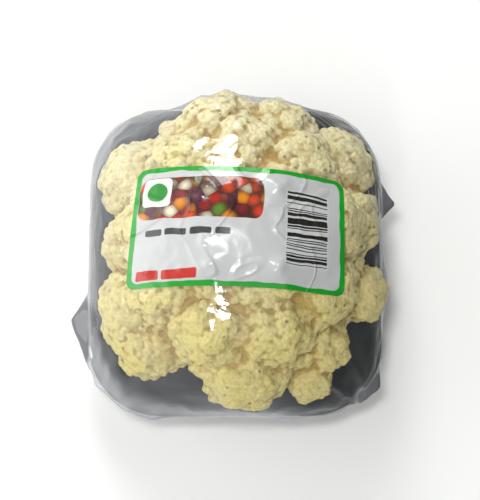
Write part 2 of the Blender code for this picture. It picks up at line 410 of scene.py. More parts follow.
# %% [markdown]
# The material paints shade into the creases, so it has to know where they are. The skin is compared with a
# smoothed copy of itself: a point below the copy is in a crease, and a point above it is on a tip. Little
# smoothing finds the creases between buds, and much smoothing finds the hollows between florets. The stalk and
# the branches get no buds.

# %% Buds and creases
BUD_SIZE = 2.0 * MM
BUD_HEIGHT = 0.30 * MM
BUD_LEVEL = 0.55
BUD_EDGE = 0.9
skin_points = read_points(head_mesh)
skin_normals = read_points(head_mesh, "normal")
skin_edges = read_edges(head_mesh)

is_curd = smoothstep(curd_base_z - 9 * MM, curd_base_z - 3 * MM, skin_points[:, 2])
is_curd *= smoothstep(-0.75, -0.35, skin_normals[:, 2])
bud_distance = np.array([noise.voronoi(Vector(point) / BUD_SIZE)[0][0] for point in skin_points])
bud_rise = BUD_HEIGHT * (BUD_LEVEL - np.minimum(bud_distance, BUD_EDGE)) * is_curd
skin_points = skin_points + skin_normals * bud_rise[:, None]


def stands_out(points, normals, edges, rounds, size):
    """How far each point stands out from the smoothed surface, from -1 in a crease to 1 on a tip."""
    smoothed = points
    for _ in range(rounds):
        smoothed = neighbour_mean(smoothed, edges)
    return np.clip(np.sum((points - smoothed) * normals, axis=1) / size, -1, 1)


fine = stands_out(skin_points, skin_normals, skin_edges, rounds=10, size=0.55 * MM)
coarse = stands_out(skin_points, skin_normals, skin_edges, rounds=90, size=3.0 * MM)
head_mesh.vertices.foreach_set("co", skin_points.ravel())
store(head_mesh, "fine_relief", fine)
store(head_mesh, "coarse_relief", coarse)
store(head_mesh, "curd_share", is_curd)
head_mesh.update()

head = bpy.data.objects.new("cauliflower", head_mesh)
bpy.context.scene.collection.objects.link(head)
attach(head, "root")
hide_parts("cauliflower_head")
print("relief, fine and coarse:", fine.std().round(2), coarse.std().round(2))

# %% [markdown]
# ## Materials in general
#
# Colours are written as sRGB hex values, the way a colour picker shows them, and one function turns them to
# the linear values that shaders work in. One helper adds a node with its settings and its links, and the
# others use it to do sums, mix colours, stretch ranges, and make patterns and relief of a real size.


# %% Colour and nodes
def linear(code):
    """An sRGB hex value as linear red, green, blue and alpha."""
    channels = [int(code[k : k + 2], 16) / 255 for k in (1, 3, 5)]
    return (*[c / 12.92 if c <= 0.04045 else ((c + 0.055) / 1.055) ** 2.4 for c in channels], 1.0)


def add(tree, kind, links=None, **settings):
    """A new node. Settings are its properties; links maps its sockets to a value or to another's output."""
    node = tree.nodes.new(kind)
    for name, value in settings.items():
        setattr(node, name, value)
    for socket, value in (links or {}).items():
        if isinstance(value, bpy.types.NodeSocket):
            tree.links.new(value, node.inputs[socket])
        else:
            node.inputs[socket].default_value = value
    return node


def calc(tree, operation, *values, clamp=False):
    """A sum on one to three values, each a number or another node's output."""
    node = add(tree, "ShaderNodeMath", dict(enumerate(values)), operation=operation, use_clamp=clamp)
    return node.outputs[0]


def blend(tree, share, under, over):
    """The colour under where share is 0, turning into the colour over where it is 1."""
    return add(tree, "ShaderNodeMix", {0: share, 6: under, 7: over}, data_type="RGBA").outputs[2]


def ranged(tree, value, low, high, start=0.0, end=1.0):
    """A value turned from the range low to high into the range start to end, and held there."""
    sockets = {"Value": value, "From Min": low, "From Max": high, "To Min": start, "To Max": end}
    return add(tree, "ShaderNodeMapRange", sockets).outputs[0]


def texture(tree, kind, place, size, **sockets):
    """A pattern whose lumps or cells are about this size, in the unit that place is in."""
    return add(tree, f"ShaderNodeTex{kind}", {"Vector": place, "Scale": 1 / size} | sockets)


def relief(tree, height, strength, depth, normal=None):
    """A bump map's normal. Depth is the real depth of the relief."""
    sockets = {"Height": height, "Strength": strength, "Distance": depth}
    return add(tree, "ShaderNodeBump", sockets | ({"Normal": normal} if normal else {})).outputs[0]


def new_material(name):
    made = bpy.data.materials.new(name)
    made.use_nodes = True
    made.node_tree.nodes.clear()
    return made, made.node_tree


# %% [markdown]
# ## Curd and stalk
#
# Curd is living tissue: pale, moist and slightly see-through, so light travels a few millimetres into it and
# softens every shadow. Its tips are cream, and patches lean to green. Its creases and the hollows between
# florets are painted darker, yellow to straw brown, as painted shade. It is yellower towards the camera and
# paler behind. The grain is the plant's flower buds, under 2 mm across, with painted shade in the gaps
# between them.

# %% Cauliflower curd
CURD_GRAIN = 1.8 * MM
DUST_SIZE = 0.5 * MM
PATCH_SIZE = 34 * MM
curd, tree = new_material("cauliflower curd")
place = add(tree, "ShaderNodeTexCoord").outputs["Object"]
fine_relief = add(tree, "ShaderNodeAttribute", attribute_name="fine_relief").outputs["Fac"]
coarse_relief = add(tree, "ShaderNodeAttribute", attribute_name="coarse_relief").outputs["Fac"]
curd_share = add(tree, "ShaderNodeAttribute", attribute_name="curd_share").outputs["Fac"]
grain = texture(tree, "Voronoi", place, CURD_GRAIN, Randomness=0.9).outputs["Distance"]
dust = texture(tree, "Noise", place, DUST_SIZE, Detail=2.0).outputs["Fac"]
patches = texture(tree, "Noise", place, PATCH_SIZE, Detail=3.0).outputs["Fac"]

along = add(tree, "ShaderNodeSeparateXYZ", {0: place}).outputs["Y"]
# The tips are paler towards the back and yellower towards the front.
paler_towards_back = ranged(tree, along, -50 * MM, 45 * MM, 0, 0.75)
tips = blend(tree, paler_towards_back, linear("#EADB8C"), linear("#F3EBC2"))
# Painted shade: the creases and the hollows between florets are darkened.
crease_shade_painted = blend(tree, ranged(tree, fine_relief, -0.9, 0.0), linear("#A68A36"), tips)
hollow_shade_painted = blend(tree, ranged(tree, coarse_relief, -0.9, -0.15), linear("#C29F4C"), crease_shade_painted)
greened = blend(tree, ranged(tree, patches, 0.46, 0.72, 0, 0.55), hollow_shade_painted, linear("#E3D37A"))
# Painted shade: the edges of the bud cells are darkened.
bud_gap_shade_painted = blend(tree, ranged(tree, grain, 0.42, 0.8, 0, 0.32), greened, linear("#BC984A"))
print("curd grain", CURD_GRAIN / MM, "mm")

# %% [markdown]
# Here and there a bud has browned. The specks are a cell pattern too: each cell has a random number, and only
# the cells above a threshold get a speck. The stalk has neither grain nor specks.

# %% Specks and shader
SPOT_SPACING = 5 * MM
SPOT_CHOSEN_ABOVE = 0.72
spots = texture(tree, "Voronoi", place, SPOT_SPACING)
spot_pick = add(tree, "ShaderNodeSeparateColor", {0: spots.outputs["Color"]}).outputs[0]
spot_chosen = calc(tree, "GREATER_THAN", spot_pick, SPOT_CHOSEN_ABOVE)
spot_round = calc(tree, "SUBTRACT", 1.0, ranged(tree, spots.outputs["Distance"], 0.08, 0.22))
spot = calc(tree, "MULTIPLY", calc(tree, "MULTIPLY", spot_round, spot_chosen), 0.8)
spotted = blend(tree, spot, bud_gap_shade_painted, linear("#73542A"))
curd_or_stalk = blend(tree, curd_share, linear("#DDE2B8"), spotted)

grain_height = calc(tree, "MULTIPLY", calc(tree, "SUBTRACT", 1.0, grain), curd_share)
grain_normal = relief(tree, calc(tree, "MULTIPLY_ADD", dust, 0.35, grain_height), 0.9, 0.6 * MM)
shader = add(
    tree,
    "ShaderNodeBsdfPrincipled",
    {
        "Base Color": curd_or_stalk,
        "Roughness": 0.52,
        "IOR": 1.4,
        "Subsurface Weight": 0.15,
        "Subsurface Radius": (1.0, 0.7, 0.35),
        "Subsurface Scale": 2.0 * MM,
        "Normal": grain_normal,
    },
)
add(tree, "ShaderNodeOutputMaterial", {"Surface": shader.outputs[0]})
head_mesh.materials.append(curd)
print("specks in", round(100 * (1 - SPOT_CHOSEN_ABOVE)), "% of the cells of", SPOT_SPACING / MM, "mm")

# %% [markdown]
# ## The tray
#
# The tray is thermoformed: a heated sheet is drawn into a mould, so its wall has one thickness and every edge
# is a soft bend. It is lofted through rounded rectangles, one for each point of its section, with more points
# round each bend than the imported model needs.

# %% Tray
TRAY_CORNER_RADIUS = 33 * MM
TRAY_WALL = 1.6 * MM
TRAY_FLANGE = 3.5 * MM
TRAY_WALL_SLOPE = 10 * MM
TRAY_FLOOR_RADIUS = 6 * MM
CORNER_STEPS = 22
tray_width, tray_depth, tray_height = tray_high - tray_low


def rounded_rectangle(width, height, radius, z):
    points = []
    for corner in range(4):
        middle_x = (width / 2 - radius) * (1 if corner in (0, 3) else -1)
        middle_y = (height / 2 - radius) * (1 if corner in (0, 1) else -1)
        for step in range(CORNER_STEPS + 1):
            angle = (corner + step / CORNER_STEPS) * math.pi / 2
            points.append((middle_x + radius * math.cos(angle), middle_y + radius * math.sin(angle), z))
    return np.array(points)


def bend(centre, radius, start, end, steps=8):
    """Points (inset, height) round an arc; angles are in degrees from straight down towards the wall."""
    angles = np.radians(np.linspace(start, end, steps))
    return [(centre[0] - radius * math.sin(a), centre[1] - radius * math.cos(a)) for a in angles]


def tray_section():
    """(inset, height) from the middle of the underside out, over the rim and back in along the floor."""
    lean = math.degrees(math.atan2(TRAY_WALL_SLOPE, tray_height))
    foot = TRAY_FLANGE + TRAY_WALL_SLOPE
    reach = TRAY_FLOOR_RADIUS * math.tan(math.radians(90 - lean) / 2)
    outer = bend((foot + reach, tray_low.z + TRAY_FLOOR_RADIUS), TRAY_FLOOR_RADIUS, 0, 90 - lean)
    inner = [(inset + TRAY_WALL, height + TRAY_WALL) for inset, height in outer]
    lip = bend((0.5 * TRAY_WALL, rim_z - 0.5 * TRAY_WALL), 0.5 * TRAY_WALL, 0, 180)
    shoulder = bend((TRAY_FLANGE + TRAY_WALL, rim_z - TRAY_WALL), TRAY_WALL, 180, 90 + 0.5 * lean, 5)
    return outer + [(TRAY_FLANGE + 0.4 * MM, rim_z - 1.6 * TRAY_WALL)] + lip + shoulder + inner[::-1]


rings = [
    rounded_rectangle(tray_width - 2 * inset, tray_depth - 2 * inset, TRAY_CORNER_RADIUS - inset, height)
    for inset, height in tray_section()
]
print("tray section of", len(rings), "points")

# %% Tray mesh
around = len(rings[0])
tray_points = np.concatenate(rings) + np.array((tray_middle.x, tray_middle.y, 0))
tray_faces = []
for ring in range(len(rings) - 1):
    for k in range(around):
        low, after = ring * around + k, ring * around + (k + 1) % around
        tray_faces.append((low, after, after + around, low + around))
tray_faces.append(tuple(reversed(range(around))))
tray_faces.append(tuple((len(rings) - 1) * around + k for k in range(around)))
tray = object_from("tray_shell", tray_points, tray_faces)
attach(tray, "root")
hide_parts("tray")
print("tray:", len(tray_faces), "faces")

# %% [markdown]
# Black polypropylene sheet has a satin skin from the mould, with faint flow marks and fine scuffs. Its
# colour is close to black, and what the eye sees of it is mostly its soft shine.

# %% Black polypropylene
polypropylene, tree = new_material("black polypropylene, thermoformed")
place = add(tree, "ShaderNodeTexCoord").outputs["Object"]
mould = texture(tree, "Noise", place, 0.6 * MM, Detail=2.0).outputs["Fac"]
flow = texture(tree, "Noise", place, 25 * MM, Detail=3.0).outputs["Fac"]
shader = add(
    tree,
    "ShaderNodeBsdfPrincipled",
    {
        "Base Color": blend(tree, flow, linear("#1B1B1D"), linear("#26272A")),
        "Roughness": ranged(tree, flow, 0.3, 0.7, 0.32, 0.46),
        "IOR": 1.49,
        "Normal": relief(tree, mould, 0.25, 0.05 * MM),
    },
)
add(tree, "ShaderNodeOutputMaterial", {"Surface": shader.outputs[0]})
tray.data.materials.append(polypropylene)
print("tray material:", polypropylene.name)

# %% [markdown]
# ## The film
#
# Stretch film is a skin under tension. It touches the highest lumps and the tray's rim, and between them it
# takes the smallest surface. That shape is found the way a soap film finds it. A fine ball of points round
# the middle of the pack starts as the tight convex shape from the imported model. Each point then moves, along
# its own ray, to the mean of its neighbours, and never below what lies under it.

# %% Rays from the middle of the pack
FILM_SUBDIVISIONS = 7
FILM_CLEARANCE = 0.35 * MM
FILM_PRESS = 1.3 * MM
FILM_MIDDLE_RISE = 8 * MM
FAR = 200 * MM
film_middle = Vector((tray_middle.x, tray_middle.y, rim_z + FILM_MIDDLE_RISE))
rays, film_faces = icosphere(FILM_SUBDIVISIONS)


def tree_of(obj):
    mesh = obj.data
    mesh.calc_loop_triangles()
    triangles = [tuple(triangle.vertices) for triangle in mesh.loop_triangles]
    return BVHTree.FromPolygons([vertex.co for vertex in mesh.vertices], triangles)


def outermost(rays, tree):
    """Along each ray from the film's middle, the distance of the tree's outermost surface, or 0."""
    distances = np.zeros(len(rays))
    for k, ray in enumerate(rays):
        direction = Vector(ray)
        hit = tree.ray_cast(film_middle + direction * FAR, -direction, FAR)
        if hit[0] is not None:
            distances[k] = FAR - hit[3]
    return distances


least = np.maximum(
    outermost(rays, tree_of(head)) - FILM_PRESS, outermost(rays, tree_of(tray)) + FILM_CLEARANCE
)
tight = outermost(rays, tree_of(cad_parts["film"]))
print(len(rays), "rays; content reaches", round(least.max() / MM), "mm")

# %% Tension
TENSION_ROUNDS = 260
film_edges = np.unique(
    np.sort(np.concatenate((film_faces[:, :2], film_faces[:, 1:], film_faces[:, ::2])), axis=1), axis=0
)
reach = np.maximum(least, tight)
for _ in range(TENSION_ROUNDS):
    pulled = neighbour_mean(rays * reach[:, None], film_edges)
    reach = np.maximum(least, np.sum(pulled * rays, axis=1))
bridged = smoothstep(0.2 * MM, 3 * MM, reach - least)
print("film bridges", round(100 * bridged.mean()), "% of its area")

# %% [markdown]
# The film's pull flattens the lumps that it touches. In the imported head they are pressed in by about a
# millimetre, so every point of the skin that would stand out of the film is brought back under it.

# %% Lumps pressed flat
pressing = BVHTree.FromPolygons(
    [Vector(point) + film_middle for point in rays * reach[:, None]], [tuple(face) for face in film_faces]
)
skin_points = read_points(head_mesh)
pressed = 0
for k, point in enumerate(skin_points):
    out = Vector(point) - film_middle
    hit = pressing.ray_cast(film_middle, out.normalized(), FAR)
    if hit[0] is not None and out.length > hit[3] - FILM_CLEARANCE:
        skin_points[k] = np.array(film_middle + out.normalized() * (hit[3] - FILM_CLEARANCE))
        pressed += 1
head_mesh.vertices.foreach_set("co", skin_points.ravel())
head_mesh.update()
print("pressed", pressed, "of", len(skin_points), "points")

# %% [markdown]
# Real film is never smooth. Where it is gathered it crumples into sharp creases, and where it is pulled it
# shows long fine folds that point along the pull. Both are added outwards, so the film stays clear of the
# curd. Crease lines come from a noise field: they lie where the field crosses zero. The corners have the most
# spare film, and the two near corners are crumpled hardest.

# %% Folds and creases
at = rays * reach[:, None]
azimuth = np.arctan2(at[:, 1], at[:, 0])
height = at[:, 2] + film_middle.z
side_share = smoothstep(88 * MM, 55 * MM, height)
below_rim = smoothstep(rim_z + 2 * MM, rim_z - 4 * MM, height)


def creases(places, sharpness=2.2):
    """1 on a crease line and 0 away from it. Places are in units of the spacing between creases."""
    field = np.array([noise.noise(Vector(place)) for place in places])
    return np.clip(1 - sharpness * np.abs(field), 0, 1)


# Each pair is the spacing between the creases and how high they stand
CRUMPLES = ((17 * MM, 0.55 * MM), (8 * MM, 0.2 * MM))
PLEATS = ((12 * MM, 0.6 * MM), (6 * MM, 0.25 * MM))
NEAR_CRUMPLE = (13 * MM, 1.7 * MM)
PACK_RADIUS = 70 * MM
crumple = sum(rise * creases(at / spacing) for spacing, rise in CRUMPLES)
long_way = np.stack((np.cos(azimuth), np.sin(azimuth), 0.28 * height / PACK_RADIUS), axis=1)
pleats = sum(rise * creases(long_way * PACK_RADIUS / spacing, 2.0) for spacing, rise in PLEATS)
at_corner = np.sin(2 * azimuth) ** 2
near_side = smoothstep(-0.35, -0.7, np.sin(azimuth)) * smoothstep(rim_z + 24 * MM, rim_z + 6 * MM, height)
folds = crumple * (0.35 + 0.4 * bridged) + pleats * side_share * (0.2 + below_rim * (0.5 + 1.2 * at_corner))
folds = folds + NEAR_CRUMPLE[1] * near_side * at_corner * creases(at / NEAR_CRUMPLE[0])
print("deepest fold", round(folds.max() / MM, 2), "mm")

# %% [markdown]
# Film pulled over a corner leaves a fan of ridges that run up from the corner. On the far right corner ridges
# are stacked one over another as well.

# %% Corner fans
CORNER_INSET = 4 * MM
FANS = (
    # side of the tray in x and y, ridge height in mm, ridges in a right angle, reach in mm
    (1, 1, 0.7, 7, 34),
    (1, -1, 1.5, 6, 38),
    (-1, 1, 0.6, 6, 34),
    (-1, -1, 1.0, 6, 34),
)
for side_x, side_y, ridge_mm, ridges, reach_mm in FANS:
    corner = np.array((side_x * (tray_width / 2 - CORNER_INSET), side_y * (tray_depth / 2 - CORNER_INSET)))
    offset = at[:, :2] - corner
    apart = np.hypot(offset[:, 0], offset[:, 1])
    turn = np.arctan2(-side_y * offset[:, 1], -side_x * offset[:, 0])
    ridge = np.abs(np.cos(turn * ridges + 0.8 * np.sin(3 * turn))) ** 6
    fan_reach = reach_mm * MM
    spread = smoothstep(3 * MM, 9 * MM, apart) * smoothstep(fan_reach, 0.35 * fan_reach, apart)
    folds = folds + ridge_mm * MM * ridge * spread * smoothstep(rim_z, rim_z + 6 * MM, height)

STACK_SPACING = 5 * MM
STACK_RISE = 0.8 * MM
stacked = np.abs(np.sin(math.pi * height / STACK_SPACING + 1.5 * np.sin(2 * azimuth))) ** 4
stacked_here = smoothstep(0.25, 0.5, azimuth) * smoothstep(1.3, 1.0, azimuth) * side_share
folds = folds + STACK_RISE * stacked * stacked_here * smoothstep(rim_z - 4 * MM, rim_z + 4 * MM, height)

print("deepest fold with the fans", round(folds.max() / MM, 2), "mm")

# %% [markdown]
# Where spare film is pinched it stands out as a small pointed ear. The pack has three: one half way up its
# right side, one low on its left side and one on its near right corner.

# %% Ears
FILM_FLOOR_GAP = 0.1 * MM
EARS = (
    # the ear's place in y and its height above the table, how far it stands out, how far its base reaches
    # towards the back and towards the front, and half its thickness, in mm; a minus sign is the left side
    (1, 23, 29, 7.5, 15, 6, 5),
    (-1, -25, 27, 9.0, 10, 26, 7),
    (1, -57, 25, 4.0, 9, 9, 7),
)
ear_share = np.zeros(len(rays))
for side, y_mm, z_mm, out_mm, back_mm, front_mm, thick_mm in EARS:
    along = at[:, 1] - y_mm * MM
    along = along / np.where(along > 0, back_mm * MM, front_mm * MM)
    up = (height - z_mm * MM) / (thick_mm * MM)
    gap = np.hypot(along, up)
    ear = np.clip(1 - gap, 0, 1) * (at[:, 0] * side > 0)
    folds = folds + out_mm * MM * ear**1.3
    ear_share = np.maximum(ear_share, smoothstep(0, 0.6, ear))
film_reach = reach + folds
film_points = rays * film_reach[:, None] + np.array(film_middle)
film_points[:, 2] = np.maximum(film_points[:, 2], FILM_FLOOR_GAP)
print("film spans", np.ptp(film_points, axis=0).round(4) / MM, "mm")

# %% [markdown]
# The film now becomes a mesh. Each point of it also keeps how far it stands in a fold, and how many layers of
# gathered film lie there: most in the ears, and more along the rim than over the head. The count is raised on
# the left and lowered on the right, which is painted light: it makes the film paler where the light comes
# from.

# %% Film mesh
BLOTCH_SIZE = 16 * MM
EAR_LAYERS = 12
FOLD_FULL = 1.6 * MM
film = object_from("stretch_film", film_points, film_faces)
near_rim = smoothstep(rim_z + 16 * MM, rim_z + 3 * MM, height)
blotches = np.array([noise.noise(Vector(place)) for place in at / BLOTCH_SIZE])
share_x, share_y = at[:, 0] / (tray_width / 2), at[:, 1] / (tray_depth / 2)
# Painted light: more haze on the left, where the light comes from, and less on the right.
left_light_and_front_gathers = np.maximum(1.05 - 0.85 * share_x, 0.15)
gathered_in_front = 2.2 * smoothstep(-0.75, -0.95, share_y) * smoothstep(0.55, 0.1, share_x)
left_light_and_front_gathers = np.maximum(left_light_and_front_gathers, gathered_in_front)
layers_and_left_light = 0.05 + (0.35 * bridged + (1.2 + 1.4 * blotches) * near_rim) * left_light_and_front_gathers
layers_and_left_light = np.clip(layers_and_left_light, 0.02, 3) + EAR_LAYERS * ear_share
store(film.data, "fold_share", np.clip(folds / FOLD_FULL, 0, 1))

# %% [markdown]
# Underneath, the film's edges are folded over one another and sealed by heat. The gathers run in towards the
# middle, and the overlap in the middle is three or four layers thick. There it has lost its clearness.

# %% Sealed underside
OVERLAP_RADIUS = 27 * MM
OVERLAP_WANDER = 9 * MM
GATHERS = 4.42
GATHER_LENGTH = 60 * MM / 1.7
across = np.hypot(at[:, 0], at[:, 1])
underneath = smoothstep(4 * MM, 1.5 * MM, height)
spokes = np.stack((GATHERS * np.cos(azimuth), GATHERS * np.sin(azimuth), across / GATHER_LENGTH), axis=1)
gathers = creases(spokes) * smoothstep(12 * MM, 26 * MM, across)
overlap = smoothstep(2 * MM, -1 * MM, across - OVERLAP_RADIUS - OVERLAP_WANDER * blotches)
layers_and_left_light = layers_and_left_light + underneath * (0.4 + 2.2 * gathers + 1.6 * overlap)
store(film.data, "film_layers_and_left_light", layers_and_left_light)
print("most layers underneath:", round(float((layers_and_left_light * underneath).max()), 1))
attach(film, "root")
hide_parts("film")
print("film:", len(film_faces), "faces")

# %% [markdown]
# Polyethylene film is clear, and it shows by its shine. It mirrors a few percent of the light face on and far
# more at a glancing angle, and the rest passes straight through. A Mix Shader says just that: a transparent
# shader, and a mirror-like one whose share follows the angle. The angle comes from Layer Weight and not from
# Fresnel, because Fresnel would take the closed film for solid plastic and keep the light inside it. The
# share also grows where film lies in several layers, and on the left, where it is painted light that makes the
# film paler. Thickly gathered film turns from mirror-like to grey.

# %% Stretch film
SHINE_FACE_ON = 0.042
SHINE_GLANCING = 0.8
MILK_PER_LAYER = 0.13
MILK_IN_FOLD = 0.03
stretch, tree = new_material("polyethylene stretch film")
place = add(tree, "ShaderNodeTexCoord").outputs["Object"]
fold_share = add(tree, "ShaderNodeAttribute", attribute_name="fold_share").outputs["Fac"]
film_layers_and_left_light = add(tree, "ShaderNodeAttribute", attribute_name="film_layers_and_left_light").outputs["Fac"]
ripple = texture(tree, "Noise", place, 9 * MM, Detail=2.0, Distortion=0.6).outputs["Fac"]
ripple_normal = relief(tree, ripple, 0.5, 0.8 * MM)
glance = add(tree, "ShaderNodeLayerWeight", {"Blend": 0.5, "Normal": ripple_normal}).outputs["Facing"]
shine = calc(tree, "MULTIPLY_ADD", calc(tree, "POWER", glance, 4.0), SHINE_GLANCING, SHINE_FACE_ON)
milk = calc(tree, "MULTIPLY_ADD", film_layers_and_left_light, MILK_PER_LAYER, shine)
share = calc(tree, "MULTIPLY_ADD", fold_share, MILK_IN_FOLD, milk, clamp=True)
clear = add(tree, "ShaderNodeBsdfTransparent", {"Color": linear("#FCFDFE")})
gathered = ranged(tree, film_layers_and_left_light, 3.2, 6.0)
mirror = add(
    tree,
    "ShaderNodeBsdfPrincipled",
    {
        "Base Color": blend(tree, gathered, linear("#EEF1F4"), linear("#727477")),
        "Metallic": ranged(tree, gathered, 0, 1, 0.72, 0.1),
        "Roughness": 0.07,
        "Normal": ripple_normal,
    },
)
film_mix = add(tree, "ShaderNodeMixShader", {0: share, 1: clear.outputs[0], 2: mirror.outputs[0]})
add(tree, "ShaderNodeOutputMaterial", {"Surface": film_mix.outputs[0]})
film.data.materials.append(stretch)
print("film material:", stretch.name)

# %% [markdown]
# ## The label
#
# The label is a thin printed sheet that follows the film. A grid of points in the shape of a rounded
# rectangle is dropped onto the film from above, and each point is lifted off it by a hair. Each point keeps
# its place on the flat label, in millimetres, so that the print bends with the sheet.

# %% Label sheet
LABEL_WIDTH = 86 * MM
LABEL_HEIGHT = 50 * MM
LABEL_CORNER = 4 * MM
LABEL_TURN = math.radians(-3)
LABEL_STEP = 0.75 * MM
LABEL_LIFT = 0.3 * MM
LABEL_WIDENED = 1.035
LABEL_STRETCH = 0.055
LABEL_SHIFT = Vector((-0.7 * MM, -0.3 * MM, 0))
label_middle = (label_low + label_high) / 2 + LABEL_SHIFT


def round_corners(x, y):
    """Moves a point of the full rectangle inwards where it lies outside the rounded corner."""
    over_x = abs(x) - (LABEL_WIDTH / 2 - LABEL_CORNER)
    over_y = abs(y) - (LABEL_HEIGHT / 2 - LABEL_CORNER)
    if over_x <= 0 or over_y <= 0:
        return x, y
    shrink = max(over_x, over_y) / math.hypot(over_x, over_y)
    inner_x, inner_y = abs(x) - over_x, abs(y) - over_y
    return (
        math.copysign(inner_x + over_x * shrink, x),
        math.copysign(inner_y + over_y * shrink, y),
    )


columns = round(LABEL_WIDTH / LABEL_STEP)
rows = round(LABEL_HEIGHT / LABEL_STEP)
film_tree = tree_of(film)
label_points, label_places = [], []
for row in range(rows + 1):
    for column in range(columns + 1):
        x = (column / columns - 0.5) * LABEL_WIDTH
        y = (row / rows - 0.5) * LABEL_HEIGHT
        x, y = flat_point = round_corners(x, y)
        widened = LABEL_WIDENED - LABEL_STRETCH * y / LABEL_HEIGHT
        x, y = x * widened, y * (1 - LABEL_STRETCH * x / LABEL_WIDTH)
        across = label_middle.x + x * math.cos(LABEL_TURN) - y * math.sin(LABEL_TURN)
        along = label_middle.y + x * math.sin(LABEL_TURN) + y * math.cos(LABEL_TURN)
        hit, normal, _, _ = film_tree.ray_cast(Vector((across, along, FAR)), Vector((0, 0, -1)))
        label_points.append(hit + normal * LABEL_LIFT)
        label_places.append(flat_point)
label_faces = []
for row in range(rows):
    for column in range(columns):
        start = row * (columns + 1) + column
        label_faces.append((start, start + 1, start + columns + 2, start + columns + 1))
label = object_from("printed_label", label_points, label_faces)
flat = label.data.uv_layers.new(name="flat_mm")
for loop in label.data.loops:
    x, y = label_places[loop.vertex_index]
    flat.data[loop.index].uv = (x / MM, y / MM)
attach(label, "root")
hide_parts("label")
print("label:", len(label_faces), "faces")

# %% [markdown]
# The print is drawn by measuring: a node works out how far a point is from each printed shape, and a
# threshold turns the distance into ink. Places are in millimetres from the middle of the label. A weak noise
# pattern shifts them, because the sheet isn't pulled evenly. The marks are generic: a plain disc, a heap of
# fruit and vegetables, bars for words, and bars of random width.

# %% Printed label
PRINT_SLACK_MM = 1.6
SLACK_SIZE_MM = 8
ink, tree = new_material("printed polyethylene label")
flat_place = add(tree, "ShaderNodeUVMap", uv_map="flat_mm").outputs[0]
slack = texture(tree, "Noise", flat_place, SLACK_SIZE_MM, Detail=1.0).outputs["Color"]
slack = add(tree, "ShaderNodeVectorMath", {0: slack, 1: (0.5, 0.5, 0.5)}, operation="SUBTRACT").outputs[0]
flat_place = add(
    tree,
    "ShaderNodeVectorMath",
    {0: slack, 1: (PRINT_SLACK_MM, PRINT_SLACK_MM, 0), 2: flat_place},
    operation="MULTIPLY_ADD",
).outputs[0]
axes = add(tree, "ShaderNodeSeparateXYZ", {0: flat_place})


def box_ink(centre_x, centre_y, width, height, corner=0.4, edge=0.25):
    """The share of ink, 0 to 1, inside a rounded box in millimetres."""
    past = []
    for axis, centre, size in ((0, centre_x, width), (1, centre_y, height)):
        offset = calc(tree, "ABSOLUTE", calc(tree, "SUBTRACT", axes.outputs[axis], centre))
        past.append(calc(tree, "MAXIMUM", calc(tree, "SUBTRACT", offset, size / 2 - corner), 0.0))
    squares = calc(tree, "MULTIPLY_ADD", past[0], past[0], calc(tree, "POWER", past[1], 2.0))
    return ranged(tree, calc(tree, "SQRT", squares), corner - edge, corner, 1.0, 0.0)


def printed(share, under, code):
    """A plain ink laid over what is already printed."""
    return blend(tree, share, under, linear(code))


BORDER_MM = 1.9
inner_size = (LABEL_WIDTH / MM - 2 * BORDER_MM, LABEL_HEIGHT / MM - 2 * BORDER_MM)
field = box_ink(0, 0, *inner_size, corner=3.0)
colour = printed(field, linear("#109A22"), "#C9CCCC")
print("printed area:", [round(side, 1) for side in inner_size], "mm")

# %% [markdown]
# The picture is a heap of fruit and vegetables seen from above. In a cell pattern each cell has its own
# random colour and darkens towards its edge, which is enough to read as round things piled up.

# %% Heap and marks
HEAP_CELL_MM = 5.0
HEAP_COLOURS = ("#C4231A", "#D9481C", "#E08A1E", "#8E1D22", "#5F7F2A", "#E9DDC0", "#5A2440", "#D43A20")
heap = texture(tree, "Voronoi", flat_place, HEAP_CELL_MM, Randomness=0.8)
heap_pick = add(tree, "ShaderNodeSeparateColor", {0: heap.outputs["Color"]}).outputs[0]
heap_ramp = add(tree, "ShaderNodeValToRGB", {0: heap_pick})
stops = heap_ramp.color_ramp
stops.interpolation = "CONSTANT"
for k, code in enumerate(HEAP_COLOURS):
    stop = stops.elements[0] if k == 0 else stops.elements.new(k / len(HEAP_COLOURS))
    stop.position = k / len(HEAP_COLOURS)
    stop.color = linear(code)
heap_edge = ranged(tree, heap.outputs["Distance"], 0.25, 0.7, 0, 0.9)
heap_colour = blend(tree, heap_edge, heap_ramp.outputs[0], linear("#3B1512"))
colour = blend(tree, box_ink(-15.5, 11.5, 51, 18, corner=4.0), colour, heap_colour)

MARKS = (
    # middle in x and y, width, height and corner radius in mm, and the ink: the square and its disc, four
    # bars for a name, and two bars for a shop
    (-33.5, 14.0, 12.0, 12.5, 2.0, "#E9EFE6"),
    (-33.5, 14.0, 8.4, 8.4, 4.2, "#1F8F33"),
    (-33.4, -3.0, 7.0, 3.0, 0.8, "#3C3F42"),
    (-24.4, -3.0, 9.0, 3.0, 0.8, "#3C3F42"),
    (-14.4, -3.0, 8.5, 3.0, 0.8, "#3C3F42"),
    (-5.6, -3.0, 6.5, 3.0, 0.8, "#3C3F42"),
    (-34.6, -20.2, 9.8, 4.2, 0.9, "#C62B22"),
    (-21.8, -20.2, 14.0, 4.2, 0.9, "#C62B22"),
)
for centre_x, centre_y, width, height_mm, corner, code in MARKS:
    colour = printed(box_ink(centre_x, centre_y, width, height_mm, corner), colour, code)
print(len(MARKS), "marks")

# %% [markdown]
# The bar pattern is cut into rows, and dice decide which rows are dark. It encodes nothing.

